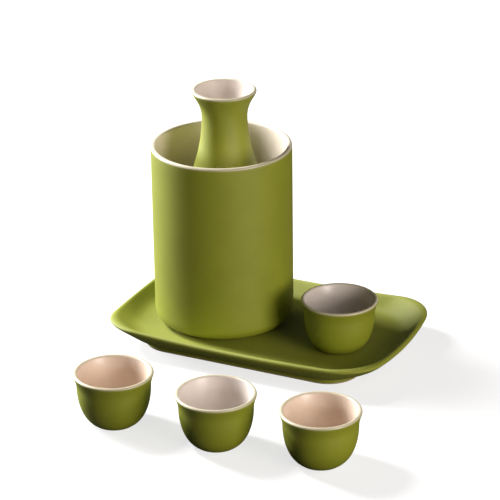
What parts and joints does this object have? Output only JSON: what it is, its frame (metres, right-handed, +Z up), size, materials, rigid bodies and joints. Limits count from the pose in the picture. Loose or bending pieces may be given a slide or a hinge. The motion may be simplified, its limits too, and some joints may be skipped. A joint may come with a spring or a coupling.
{
  "type": "sake bottle set",
  "caption": "Matt green ceramic sake bottle standing in a straight warming jar on a round-cornered tray, with matching small cups; every piece lifts off.",
  "frame": {"origin": "middle of the whole set on the table plane that the tray's foot and the loose cups stand on", "axes": "+Z up; +X along the tray's length from the jar towards the cup on the tray; +Y from the loose cups towards the tray"},
  "size_m": [0.2183, 0.226, 0.1651],
  "materials": {
    "tray_glaze": "matt green glaze outside",
    "warming_jar_glaze": "matt green glaze outside, pale satin glaze inside and on the lip",
    "sake_bottle_glaze": "matt green glaze outside, pale satin glaze inside and on the lip",
    "cup_on_tray_glaze": "matt green glaze outside, pale satin glaze inside and on the lip",
    "cup_left_glaze": "matt green glaze outside, pale satin glaze inside and on the lip",
    "cup_middle_glaze": "matt green glaze outside, pale satin glaze inside and on the lip",
    "cup_right_glaze": "matt green glaze outside, pale satin glaze inside and on the lip"
  },
  "bodies": {
    "tray": {"tray": "tray_glaze"},
    "warming_jar": {"warming_jar": "warming_jar_glaze"},
    "sake_bottle": {"sake_bottle": "sake_bottle_glaze"},
    "cup_on_tray": {"cup_on_tray": "cup_on_tray_glaze"},
    "cup_left": {"cup_left": "cup_left_glaze"},
    "cup_middle": {"cup_middle": "cup_middle_glaze"},
    "cup_right": {"cup_right": "cup_right_glaze"}
  },
  "joints": [
    {"name": "jar_lift", "type": "slide", "parent": "tray", "child": "warming_jar", "axis": [0, 0, 1], "range_m": [0, 0.06]},
    {"name": "bottle_lift", "type": "slide", "parent": "warming_jar", "child": "sake_bottle", "axis": [0, 0, 1], "range_m": [0, 0.125]},
    {"name": "tray_cup_lift", "type": "slide", "parent": "tray", "child": "cup_on_tray", "axis": [0, 0, 1], "range_m": [0, 0.06]},
    {"name": "left_cup_lift", "type": "slide", "parent": "tray", "child": "cup_left", "axis": [0, 0, 1], "range_m": [0, 0.06]},
    {"name": "middle_cup_lift", "type": "slide", "parent": "tray", "child": "cup_middle", "axis": [0, 0, 1], "range_m": [0, 0.06]},
    {"name": "right_cup_lift", "type": "slide", "parent": "tray", "child": "cup_right", "axis": [0, 0, 1], "range_m": [0, 0.06]}
  ]
}
